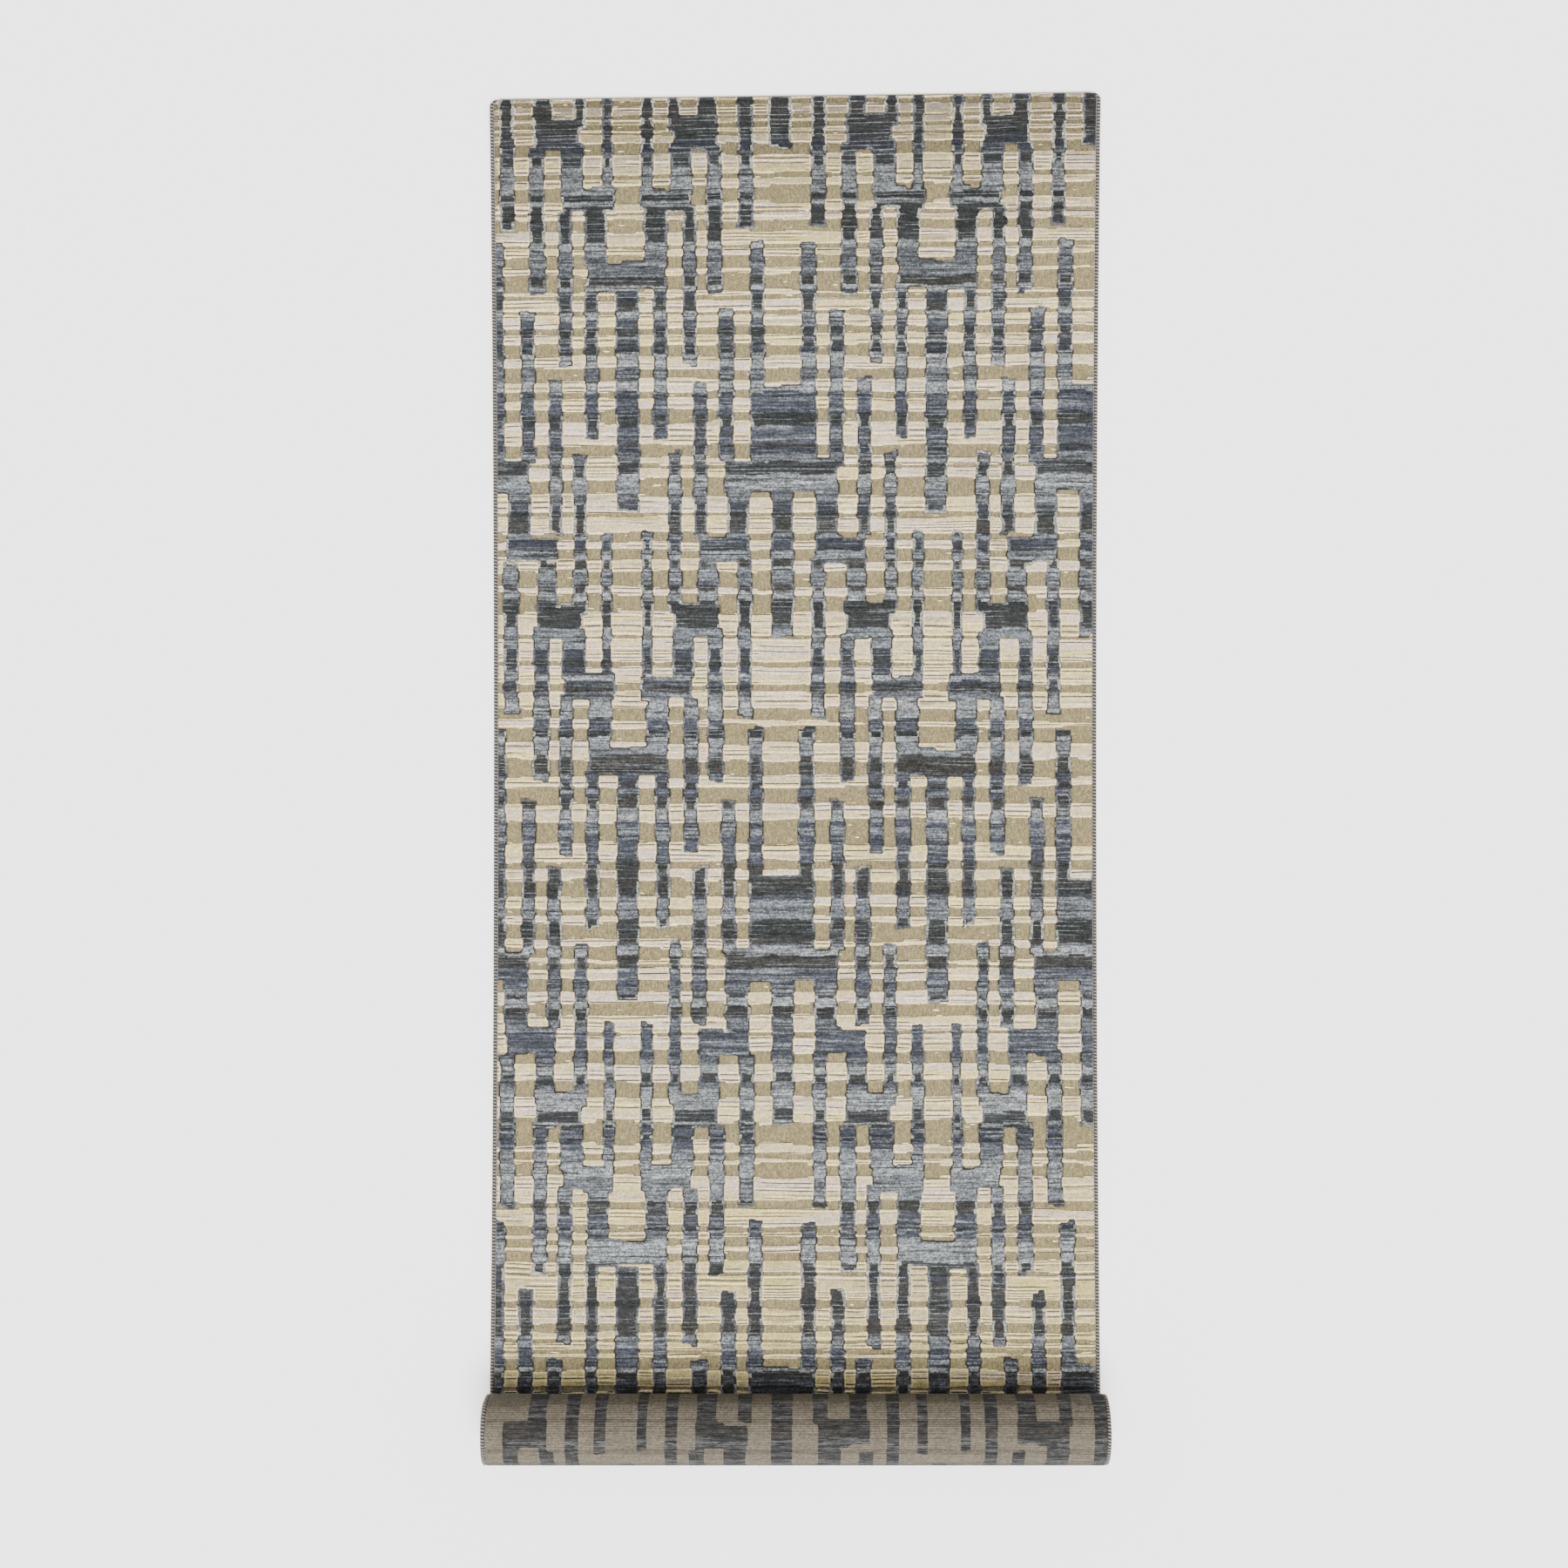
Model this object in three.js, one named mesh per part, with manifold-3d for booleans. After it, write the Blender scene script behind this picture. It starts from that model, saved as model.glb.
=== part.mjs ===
// Hand-knotted runner rug, laid face up with its foot end rolled in over the face.
// Millimetres, +Z up. X runs across the rug, +Y towards the head end, the roll lies at -Y.
// The origin is the centre of the rug's footprint, on the floor.
import * as THREE from 'three';
import { mergeVertices } from 'three/addons/utils/BufferGeometryUtils.js';
import Module from 'manifold-3d';

// Driving dimensions
const WIDTH = 762;              // over both side cords
const LENGTH = 2440;            // of the whole sheet, unrolled, without the lips of its end webs
const BOX_LENGTH = 1708;        // from the head end to the far side of the roll
const ROLL_RADIUS = 46;         // to the back of the outermost turn, where it leaves the floor
const ROLL_PITCH = 6.9;         // from one turn to the next
const ROLL_STEP = Math.PI / 10; // angle between two stations of the roll

const FOUNDATION_THICK = 1.8;   // warps and wefts with the knots' bases
const GROUND_THICK = 2.4;       // low-cut pile
const RAISED_THICK = 1.7;       // high-cut pile
const GAP = 0.3;                // between pieces that touch

const CORD_WIDTH = 3.0;         // bundle of warps along each side
const CORD_THICK = 2.4;
const WRAP_WALL = 0.8;          // overcasting yarn round the cord
const WRAP_SLACK = 0.25;        // between the yarn and the cord

const WEB_THICK = 1.0;          // flat-woven web at each end, turned under
const WEB_FOLD = 20;            // how far it reaches back under the rug
const WEB_LIP = 0.9;            // its thickness over the end face
const HEM_LIFT = WEB_THICK + GAP;
const HEM_LEVEL = WEB_FOLD + 2; // length at either end that the web lifts by all of that
const HEM_RAMP = 32;            // over which the rug comes back down beside the web

const STITCH_PITCH = 24;
const STITCH_SWING = 3.6;
const STITCH_CLEAR = 1;         // between the web's edge and the row of stitches
const THREAD_WIDTH = 0.7;
const THREAD_THICK = 0.6;
const THREAD_DROP = 0.4;        // below the rug's back

const WINDOW_PITCH = 74;        // low-cut areas between the raised ones, across the rug
const WINDOW_WIDTH = 42;
const WINDOW_ROWS = [[70, 26], [160, 40], [262, 24], [352, 44], [452, 28], [548, 38]];
const PATTERN_REPEAT = 617;     // along the rug; each row above is [centre, length] in one repeat
const FACE_MARGIN = 16;         // raised pile left unbroken round the flat face

// Levels measured from the rug's back towards its face
const GROUND_LOW = FOUNDATION_THICK + GAP;
const GROUND_TOP = GROUND_LOW + GROUND_THICK;
const RAISED_LOW = GROUND_TOP + GAP;
const RAISED_TOP = RAISED_LOW + RAISED_THICK;

const WRAP_WIDTH = CORD_WIDTH + 2 * (WRAP_WALL + WRAP_SLACK);
const WRAP_TOP = CORD_THICK + 2 * (WRAP_WALL + WRAP_SLACK);
const BODY_HALF = WIDTH / 2 - WRAP_WIDTH - GAP;

const HEAD_Y = BOX_LENGTH / 2 - GAP - WEB_LIP;
const ROLL_REACH = ROLL_RADIUS - ROLL_PITCH / 4; // a quarter turn on, at its far side
const ROLL_Y = ROLL_REACH - BOX_LENGTH / 2;
const FLAT_LENGTH = HEAD_Y - ROLL_Y;

const X_AXIS = new THREE.Vector3(1, 0, 0);

// The rug's back, as a path from the head end: flat to the roll, then a spiral of even pitch
function turnRadius(angle) {
  return ROLL_RADIUS - ROLL_PITCH * angle / (2 * Math.PI);
}

function rolledLength(angle) {
  return ROLL_RADIUS * angle - ROLL_PITCH * angle * angle / (4 * Math.PI);
}

function angleAtLength(length) {
  const a = ROLL_PITCH / (4 * Math.PI);
  return (ROLL_RADIUS - Math.sqrt(ROLL_RADIUS * ROLL_RADIUS - 4 * a * length)) / (2 * a);
}

const ROLL_END = angleAtLength(LENGTH - FLAT_LENGTH);

// Height that the turned-under web adds under the rug, near either end
function hemLift(s) {
  const fromEnd = Math.min(s, LENGTH - s);
  const rise = (HEM_LEVEL + HEM_RAMP - fromEnd) / HEM_RAMP;
  return HEM_LIFT * THREE.MathUtils.clamp(rise, 0, 1);
}

// Place, facing direction and running direction of the rug's back at length s
function pathFrame(s) {
  if (s <= FLAT_LENGTH) {
    return {
      at: new THREE.Vector3(0, HEAD_Y - s, 0),
      face: new THREE.Vector3(0, 0, 1),
      along: new THREE.Vector3(0, -1, 0),
    };
  }
  const angle = angleAtLength(Math.min(s, LENGTH) - FLAT_LENGTH);
  const outward = new THREE.Vector3(0, -Math.sin(angle), -Math.cos(angle));
  const along = new THREE.Vector3(0, -Math.cos(angle), Math.sin(angle));
  const axis = new THREE.Vector3(0, ROLL_Y, ROLL_RADIUS);
  const at = axis.addScaledVector(outward, turnRadius(angle));
  at.addScaledVector(along, Math.max(0, s - LENGTH));
  return { at, face: outward.negate(), along };
}

// A point at length s, a level above the rug's back
function pathPoint(s, level) {
  const { at, face } = pathFrame(s);
  return at.addScaledVector(face, level + hemLift(s));
}

// Lengths where the path has a corner, from one length to another
function stations(from, to) {
  const list = [from];
  const corners = [HEM_LEVEL, HEM_LEVEL + HEM_RAMP, FLAT_LENGTH];
  for (let angle = ROLL_STEP; angle < ROLL_END; angle += ROLL_STEP) {
    corners.push(FLAT_LENGTH + rolledLength(angle));
  }
  for (const s of corners) {
    if (s > from + 1 && s < to - 1) list.push(s);
  }
  list.push(to);
  return list;
}

// Side-view outline (Y, Z) carried across the rug from x = left to x = right
function acrossRug(points, left, right) {
  const outline = new THREE.Shape(points.map((p) => new THREE.Vector2(p.y, p.z)));
  const geometry = new THREE.ExtrudeGeometry(outline, { depth: right - left, bevelEnabled: false });
  const sideView = new THREE.Matrix4().makeBasis(
    new THREE.Vector3(0, 1, 0), new THREE.Vector3(0, 0, 1), X_AXIS);
  geometry.applyMatrix4(sideView);
  geometry.translate(left, 0, 0);
  return geometry;
}

// A layer of the sheet between two levels and two lengths
function layer(low, high, left, right, from = 0, to = LENGTH) {
  const lengths = stations(from, to);
  const under = lengths.map((s) => pathPoint(s, low));
  const over = lengths.map((s) => pathPoint(s, high));
  return acrossRug([...under, ...over.reverse()], left, right);
}

const wasm = await Module();
wasm.setup();

function toSolid(geometry) {
  const bare = geometry.clone();
  bare.deleteAttribute('normal');
  bare.deleteAttribute('uv');
  const merged = mergeVertices(bare, 1e-4);
  return new wasm.Manifold(new wasm.Mesh({
    numProp: 3,
    vertProperties: new Float32Array(merged.attributes.position.array),
    triVerts: new Uint32Array(merged.index.array),
  }));
}

function toGeometry(solid) {
  const mesh = solid.getMesh();
  const geometry = new THREE.BufferGeometry();
  geometry.setAttribute('position', new THREE.BufferAttribute(mesh.vertProperties, 3));
  geometry.setIndex(new THREE.BufferAttribute(mesh.triVerts, 1));
  const faceted = geometry.toNonIndexed();
  faceted.computeVertexNormals();
  return faceted;
}

// Raised pile: one layer, cut away in windows where the low-cut pile shows
function raisedPile() {
  let solid = toSolid(layer(RAISED_LOW, RAISED_TOP, -BODY_HALF, BODY_HALF));
  for (const window of windows(WEB_FOLD + HEM_RAMP + FACE_MARGIN, FLAT_LENGTH - FACE_MARGIN)) {
    solid = solid.subtract(toSolid(window));
  }
  return toGeometry(solid);
}

// Boxes through the raised pile between two lengths, each row staggered by half a pitch
function windows(from, to) {
  const boxes = [];
  const repeats = Math.ceil(to / PATTERN_REPEAT);
  for (let repeat = 0; repeat < repeats; repeat += 1) {
    WINDOW_ROWS.forEach(([centre, length], row) => {
      const s = repeat * PATTERN_REPEAT + centre;
      if (s - length / 2 < from || s + length / 2 > to) return;
      const stagger = row % 2 ? WINDOW_PITCH / 2 : 0;
      const reach = BODY_HALF - FACE_MARGIN - WINDOW_WIDTH / 2;
      const columns = Math.floor((reach - stagger) / WINDOW_PITCH);
      for (let column = -columns - (row % 2); column <= columns; column += 1) {
        const box = new THREE.BoxGeometry(WINDOW_WIDTH, length, 2 * RAISED_THICK);
        box.translate(column * WINDOW_PITCH + stagger, HEAD_Y - s, (RAISED_LOW + RAISED_TOP) / 2);
        boxes.push(box);
      }
    });
  }
  return boxes;
}

// Bundle of warps along one side; side is -1 on the left and +1 on the right
function sideCord(side) {
  const low = WRAP_WALL + WRAP_SLACK;
  const middle = side * (WIDTH / 2 - WRAP_WIDTH / 2);
  return layer(low, low + CORD_THICK, middle - CORD_WIDTH / 2, middle + CORD_WIDTH / 2);
}

// Overcasting yarn as a sleeve round that cord, open at both ends
function sideWrap(side) {
  const middle = side * (WIDTH / 2 - WRAP_WIDTH / 2);
  const outer = layer(0, WRAP_TOP, middle - WRAP_WIDTH / 2, middle + WRAP_WIDTH / 2);
  const half = CORD_WIDTH / 2 + WRAP_SLACK;
  const bore = layer(WRAP_WALL, WRAP_TOP - WRAP_WALL, middle - half, middle + half, -1, LENGTH + 1);
  return toGeometry(toSolid(outer).subtract(toSolid(bore)));
}

// End web: over the end face, then turned under; beyond is +1 past the foot, -1 past the head
function endWeb(end, beyond) {
  const inner = end - beyond * WEB_FOLD;
  const lengths = stations(Math.min(end, inner), Math.max(end, inner));
  if (beyond < 0) lengths.reverse();
  const top = FOUNDATION_THICK;
  const near = end + beyond * GAP;
  const far = near + beyond * WEB_LIP;
  const outline = [
    ...lengths.map((s) => pathPoint(s, -GAP)),
    lipPoint(near, -GAP),
    lipPoint(near, top),
    lipPoint(far, top),
    lipPoint(far, -HEM_LIFT),
    ...lengths.reverse().map((s) => pathPoint(s, -HEM_LIFT)),
  ];
  return acrossRug(outline, -BODY_HALF, BODY_HALF);
}

// A point past either end of the sheet, straight on from it
function lipPoint(s, level) {
  const end = THREE.MathUtils.clamp(s, 0, LENGTH);
  const { along } = pathFrame(end);
  return pathPoint(end, level).addScaledVector(along, s - end);
}

// Zigzag sewing thread that holds a web's edge to the rug's back
function hemThread(s) {
  const reach = BODY_HALF - STITCH_PITCH;
  const count = Math.floor(2 * reach / STITCH_PITCH) * 2;
  const step = 2 * reach / count;
  const corner = (i, shift) => new THREE.Vector2(
    -reach + i * step, (i % 2 ? 0.5 : -0.5) * STITCH_SWING + shift);
  const lower = [];
  const upper = [];
  for (let i = 0; i <= count; i += 1) {
    lower.push(corner(i, -THREAD_WIDTH / 2));
    upper.push(corner(i, THREAD_WIDTH / 2));
  }
  const zigzag = new THREE.Shape([...lower, ...upper.reverse()]);
  const geometry = new THREE.ExtrudeGeometry(zigzag, { depth: THREAD_THICK, bevelEnabled: false });
  const { along, face } = pathFrame(s);
  geometry.applyMatrix4(new THREE.Matrix4().makeBasis(X_AXIS, along, face.clone().negate()));
  const at = pathPoint(s, -THREAD_DROP);
  geometry.translate(at.x, at.y, at.z);
  return geometry;
}

const runner = new THREE.Group();

function addPart(name, geometry, color, roughness) {
  const material = new THREE.MeshStandardMaterial({ color, roughness, metalness: 0 });
  const mesh = new THREE.Mesh(geometry, material);
  mesh.name = name;
  runner.add(mesh);
}

const THREAD_PLACE = WEB_FOLD + STITCH_CLEAR + STITCH_SWING;

addPart('foundation', layer(0, FOUNDATION_THICK, -BODY_HALF, BODY_HALF), 0xa89f8c, 0.95);
addPart('ground_pile', layer(GROUND_LOW, GROUND_TOP, -BODY_HALF, BODY_HALF), 0xb5a884, 0.95);
addPart('raised_pile', raisedPile(), 0xd8d0b8, 0.8);
addPart('left_side_cord', sideCord(-1), 0xd9d2c2, 0.9);
addPart('right_side_cord', sideCord(1), 0xd9d2c2, 0.9);
addPart('left_side_overcasting', sideWrap(-1), 0x6d6a66, 0.9);
addPart('right_side_overcasting', sideWrap(1), 0x6d6a66, 0.9);
addPart('head_web', endWeb(0, -1), 0xc9c0aa, 0.95);
addPart('foot_web', endWeb(LENGTH, 1), 0xc9c0aa, 0.95);
addPart('head_hem_thread', hemThread(THREAD_PLACE), 0xe2dccb, 0.7);
addPart('foot_hem_thread', hemThread(LENGTH - THREAD_PLACE), 0xe2dccb, 0.7);

export default runner;
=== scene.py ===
import math

import bpy
import numpy as np
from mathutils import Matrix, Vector


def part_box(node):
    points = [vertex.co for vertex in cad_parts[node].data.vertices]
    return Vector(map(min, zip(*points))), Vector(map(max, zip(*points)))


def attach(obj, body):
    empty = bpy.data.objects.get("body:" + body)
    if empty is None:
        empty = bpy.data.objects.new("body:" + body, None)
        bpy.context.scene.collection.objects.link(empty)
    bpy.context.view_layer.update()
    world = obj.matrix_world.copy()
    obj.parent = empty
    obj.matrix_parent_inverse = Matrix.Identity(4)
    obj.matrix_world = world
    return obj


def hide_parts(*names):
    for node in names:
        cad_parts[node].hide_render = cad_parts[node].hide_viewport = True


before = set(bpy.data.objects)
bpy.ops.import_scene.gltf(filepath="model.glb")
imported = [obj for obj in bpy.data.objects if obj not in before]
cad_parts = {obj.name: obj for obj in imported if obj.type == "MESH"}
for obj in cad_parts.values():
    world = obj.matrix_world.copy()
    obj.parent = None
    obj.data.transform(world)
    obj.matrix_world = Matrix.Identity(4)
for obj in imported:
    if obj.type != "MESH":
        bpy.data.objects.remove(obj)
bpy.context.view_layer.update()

MM = 0.001

# The sheet's build in millimetres: widths and places from the frame's pieces, the rest as in the CAD
FOUNDATION_LOW, FOUNDATION_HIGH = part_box("foundation")
WRAP_LOW, WRAP_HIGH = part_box("right_side_overcasting")
HALF_WIDTH = FOUNDATION_HIGH.x / MM
WRAP_WIDTH = (WRAP_HIGH.x - WRAP_LOW.x) / MM
WRAP_MIDDLE = (WRAP_HIGH.x + WRAP_LOW.x) / 2 / MM
HEAD_Y = FOUNDATION_HIGH.y / MM
ROLL_FAR_Y = FOUNDATION_LOW.y / MM
LENGTH = 2440.0          # unrolled
ROLL_RADIUS = 46.0       # of the rug's back, where the sheet leaves the floor
ROLL_PITCH = 6.9         # from each turn to the next
ROLL_Y = ROLL_FAR_Y + ROLL_RADIUS - ROLL_PITCH / 4
FLAT_LENGTH = HEAD_Y - ROLL_Y
FOUNDATION_THICK = 1.8
GROUND_TOP = 4.5         # low-cut pile over the rug's back
RAISED_TOP = 6.4         # high-cut pile
PILE_ROUND = 4.0         # how far in from the rug's edge the pile leans down
PILE_LIFT = 0.02         # between the foundation and the pile's underside
PILE_ROOT = 0.3          # of the pile that stays where it leans right down
WEB_THICK = 1.0          # flat-woven web at each end, turned under
WEB_FOLD = 20.0
WEB_LIP = 1.2            # its thickness over the end face
WEB_GAP = 0.3
HEM_LIFT = WEB_THICK + WEB_GAP
HEM_LEVEL = WEB_FOLD + 2.0      # length at either end that the web lifts by all of that
HEM_RAMP = 32.0          # length over which the sheet comes down again
THREAD_PLACE = WEB_FOLD + 4.6   # of each row of stitches, from its end of the rug
THREAD_LEVEL = -0.75     # of the thread's middle, under the rug's back
THREAD_RADIUS = 0.3
STITCH_PITCH = 24.0      # two slanting stitches, out and back
STITCH_SWING = 3.4
WRAP_PITCH = 2.05        # from each turn of the overcasting yarn to the next
SIDE_LEVEL = 2.3         # of the side cords' middle over the rug's back
WRAP_HALF = (WRAP_WIDTH / 2, 2.25)      # half the overcasting's width and height
CORD_HALF = (1.5, 1.2)   # and the cord's

# How the woven rug departs from a true rectangle
EDGE_FLARE = 0.007       # wider at the head and the roll than halfway
HEAD_SKEW = 9.0          # the left corner lies this much lower than the right one
SKEW_FADE = 700.0        # length over which that evens out
CORNER_RADIUS = 9.0
ROLL_DRIFT = 2.2         # how far the turns wander sideways

# The knotted design in millimetres: x across from the rug's middle, s along from the head
GRID = 1.3               # from one row of the design's grid to the next
GRID_WIDE = 1.75         # and, nearly, from one column to the next
KNOT = 2.11              # from one knot to the next
FAR_OUT = -9.0           # depth where no band or strip is near
ROW_PITCH = 5.4          # between the carved lines
HEAD_SHADE = 130.0       # length at the head over which the colours are duller and darker
HEAD_FADE = (0.4 * HEAD_SHADE, 2.2 * HEAD_SHADE)    # s over which that darkening fades
DARK_END = (25.0, 90.0)        # s over which the ground's deepest shade, at the head's end, fades
CREAM_RISE = (1250.0, 1650.0)  # s over which more of the ground turns to cream
FOOT_FADE = (1310.0, 1490.0)   # s over which the ground darkens towards the roll, painted shade
NIP_LENGTH = 50.0        # last of the flat part, in the roll's shade
PLAIN_MARGIN = 22.0      # left of the rolled part, without strips
# Widths of the low-cut bands, the raised ones and the bands of dyed yarn, with how often each comes
LOW_BANDS = ([4, 6, 10, 15, 21, 30], [0.08, 0.21, 0.24, 0.21, 0.17, 0.09])
RAISED_BANDS = ([6, 9, 14, 21, 30], [0.15, 0.24, 0.27, 0.21, 0.13])
TONE_BANDS = ([4, 7, 11, 16, 23], [0.16, 0.26, 0.28, 0.20, 0.10])
# Widths of the margin round a dark strip's core, with how often each comes
MARGINS = ([0.0, 2.4, 3.4], [0.2, 0.4, 0.4])
OUTLINE_WIDTH = 1.5      # the same round a core of light yarn
REPEAT_WIDE = 389.0
REPEAT_LONG = 616.0
FIRST_AXIS = -211.0      # x of a repeat's middle
FIRST_ROW = 8.0          # s where a repeat starts
ROUND_DEPTH = 4.2        # depth up to which the strips' corners are rounded
# One half of the repeat, mirrored about its axis: offset from the axis, width, start, end
STRIPS = [
    (0, 28, 230, 518), (37, 29, 128, 204), (0, 100, 199, 233), (43, 17, 228, 424),
    (25, 14, 543, 725), (48, 64, 107, 137), (68, 29, 50, 112), (86, 58, 17, 58),
    (59, 16, 442, 647), (102, 24, 578, 646), (111, 19, 52, 243), (78, 18, 133, 332),
    (149, 18, 580, 775), (194, 28, 487, 674), (162, 19, 175, 456), (126, 18, 262, 456),
    (91, 18, 350, 548), (194, 76, 357, 456), (194, 142, 452, 490), (139, 29, 486, 554),
    (121, 64, 551, 582),
]

# Dyes, as linear reflectance; the palest one also serves as painted highlight, and the two tints at the
# end are painted shade
IVORY = np.array([0.395, 0.326, 0.185])
SILVER = np.array([0.405, 0.337, 0.270])
CREAM = np.array([0.425, 0.356, 0.155])
# the palest yarn, used for stray knots, and as painted highlight on crests and raised edges
PALE_KNOT_AND_HIGHLIGHT = np.array([0.80, 0.64, 0.37])
SAND = np.array([0.211, 0.180, 0.092])
KHAKI = np.array([0.174, 0.143, 0.073])
KHAKI_DARK = np.array([0.145, 0.119, 0.061])
LINE = np.array([0.040, 0.034, 0.024])
HALO = np.array([0.150, 0.151, 0.133])
OUTLINE = np.array([0.0112, 0.0124, 0.0124])
CHARCOAL = np.array([0.0142, 0.0152, 0.0150])
CHARCOAL_WARM = np.array([0.0180, 0.0176, 0.0160])
NAVY = np.array([0.0172, 0.0192, 0.0252])
DENIM = np.array([0.0284, 0.0312, 0.0400])
SLATE = np.array([0.0480, 0.052, 0.058])
STEEL = np.array([0.077, 0.084, 0.092])
MIST = np.array([0.120, 0.127, 0.131])
GREIGE = np.array([0.109, 0.094, 0.069])
GREIGE_DARK = np.array([0.082, 0.070, 0.051])
BACK_GREY = np.array([0.0360, 0.0316, 0.0278])
OVERCAST_DARK = np.array([0.020, 0.017, 0.016])
OVERCAST_LIGHT = np.array([0.230, 0.195, 0.155])
COTTON = np.array([0.40, 0.35, 0.25])
THREAD = np.array([0.46, 0.42, 0.33])
DARK_YARNS = [CHARCOAL, CHARCOAL_WARM, CHARCOAL, NAVY]
LIGHT_YARNS = [STEEL, SLATE, MIST, DENIM, MIST]
FOOT_SHADE_TINT = np.array([0.80, 0.80, 0.74])    # what stays of the ground's colour towards the roll: painted shade of the roll
NIP_TINT = np.array([0.50, 0.55, 0.80])     # what stays of all colour next to the roll


def smooth(x, low, high):
    """0 below low, 1 above high, and smooth between them."""
    t = np.clip((x - low) / (high - low), 0, 1)
    return t * t * (3 - 2 * t)


def weights(x, start, cell, count):
    """Rows that blend count evenly spaced values, the first at start, to the places x."""
    place = np.clip((x - start) / cell, 0, count - 1.001)
    first = place.astype(int)
    part = smooth(place - first, 0, 1)
    rows = np.zeros((len(x), count))
    rows[np.arange(len(x)), first] = 1 - part
    rows[np.arange(len(x)), first + 1] = part
    return rows


def noise(s, x, long_cell, wide_cell, seed):
    """Smooth random values on the grid of s by x, about -1 to 1, the same for every piece."""
    rng = np.random.default_rng(seed)
    long_count = int(LENGTH / long_cell) + 3
    wide_count = int(2 * HALF_WIDTH / wide_cell) + 3
    table = rng.uniform(-1, 1, (long_count, wide_count))
    along = weights(s, 0, long_cell, long_count)
    across = weights(x, -HALF_WIDTH - 1, wide_cell, wide_count)
    return along @ table @ across.T


def line_noise(x, cell, rng):
    """Smooth random values across the rug, about -1 to 1."""
    count = int(2 * HALF_WIDTH / cell) + 3
    return weights(x, -HALF_WIDTH - 1, cell, count) @ rng.uniform(-1, 1, count)


def box_blur(field, reach, axis):
    """The mean over reach cells to each side along one axis."""
    width = 2 * reach + 1
    pad = [(0, 0), (0, 0)]
    pad[axis] = (reach + 1, reach)
    total = np.cumsum(np.pad(field, pad, mode="edge"), axis=axis)
    low = np.take(total, range(0, total.shape[axis] - width), axis=axis)
    high = np.take(total, range(width, total.shape[axis]), axis=axis)
    return (high - low) / width


# ---- The design as fields over the whole rug

# Places of the design's grid: s of each row, x of each column
S = np.arange(0, LENGTH + GRID, GRID)
X = np.linspace(-HALF_WIDTH, HALF_WIDTH, int(round(2 * HALF_WIDTH / GRID_WIDE)) + 1)


def rows_near(low, high):
    """The slice of rows whose s lies between low and high, or just outside."""
    first = max(0, int(math.floor(low / GRID)))
    last = min(len(S), int(math.ceil(high / GRID)) + 1)
    return slice(first, max(first, last))


def steps(x, short, long, rng):
    """Random values that change in steps along one line, -1 to 1."""
    edges = np.cumsum(rng.uniform(short, long, int((x[-1] - x[0]) / short) + 4)) + x[0] - long
    return rng.uniform(-1, 1, len(edges) + 1)[np.searchsorted(edges, x)]


def low_bands():
    """Depth inside the low-cut bands in millimetres, negative in the raised ones."""
    rng = np.random.default_rng(11)
    field = np.full((len(S), len(X)), FAR_OUT)
    s = 6.0
    while s < LENGTH:
        thick = rng.choice(LOW_BANDS[0], p=LOW_BANDS[1])
        centre = s + thick / 2 + 1.4 * line_noise(X, 190, rng) + 0.9 * steps(X, 20, 60, rng)
        half = thick / 2 + (0.4 + 0.07 * thick) * line_noise(X, 110, rng)
        half = half + (0.5 + 0.10 * thick) * steps(X, 18, 70, rng)
        rows = rows_near(s - thick - 8, s + 2 * thick + 8)
        depth = half[None, :] - np.abs(S[rows, None] - centre[None, :])
        field[rows] = np.maximum(field[rows], depth)
        gap = rng.choice(RAISED_BANDS[0], p=RAISED_BANDS[1])
        s += thick + (0.75 * gap if s < 1.6 * HEAD_SHADE else gap)
    return field


def carved_rows():
    """A count of the carved lines along the rug: each whole number is one line."""
    rng = np.random.default_rng(23)
    count = int(LENGTH / ROW_PITCH * 1.2) + 40
    lines = np.cumsum(rng.uniform(0.55 * ROW_PITCH, 1.45 * ROW_PITCH, count)) - 20
    wander = 1.5 * noise(S, X, 60, 75, 24) + 0.5 * noise(S, X, 22, 24, 25)
    return np.interp((S[:, None] + wander).ravel(), lines, np.arange(count)).reshape(wander.shape)


def strip_depth(khaki):
    """Depth inside the dark strips in millimetres, negative outside them. On the flat part, where
    the face shows, their corners are rounded and strips that meet run into each other."""
    rng = np.random.default_rng(5)
    depth = np.full((len(S), len(X)), FAR_OUT)
    freedom = np.where(S < FLAT_LENGTH, 1.0, 0.3)[:, None]
    swell = 0.7 * (2 * khaki - 1) * freedom
    for repeat in range(-1, int(LENGTH / REPEAT_LONG) + 1):
        for axis in np.arange(FIRST_AXIS - REPEAT_WIDE, HALF_WIDTH + REPEAT_WIDE, REPEAT_WIDE):
            for offset, width, start, end in STRIPS:
                begin = FIRST_ROW + repeat * REPEAT_LONG + start
                own_mirror_image = offset == 0 or offset > REPEAT_WIDE / 2 - 1
                for side in (1,) if own_mirror_image else (-1, 1):
                    middle = axis + side * offset
                    add_strip(depth, swell, freedom, rng, middle, width, begin, end - start)
    depth[np.ix_(S > FLAT_LENGTH - 10, X < PLAIN_MARGIN - HALF_WIDTH)] = FAR_OUT
    cover = np.clip(depth / GRID + 0.5, 0, 1)
    near = box_blur(box_blur(cover, 1, 0), 1, 1)
    wide = box_blur(box_blur(cover, 2, 0), 2, 1)
    deep_inside = np.where(wide > 0.88, ROUND_DEPTH * smooth(wide, 0.88, 0.98), FAR_OUT)
    rounded = np.maximum((near - 0.5) * ROUND_DEPTH, deep_inside)
    return np.where(S[:, None] < FLAT_LENGTH, np.maximum(depth, rounded), depth)


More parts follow.
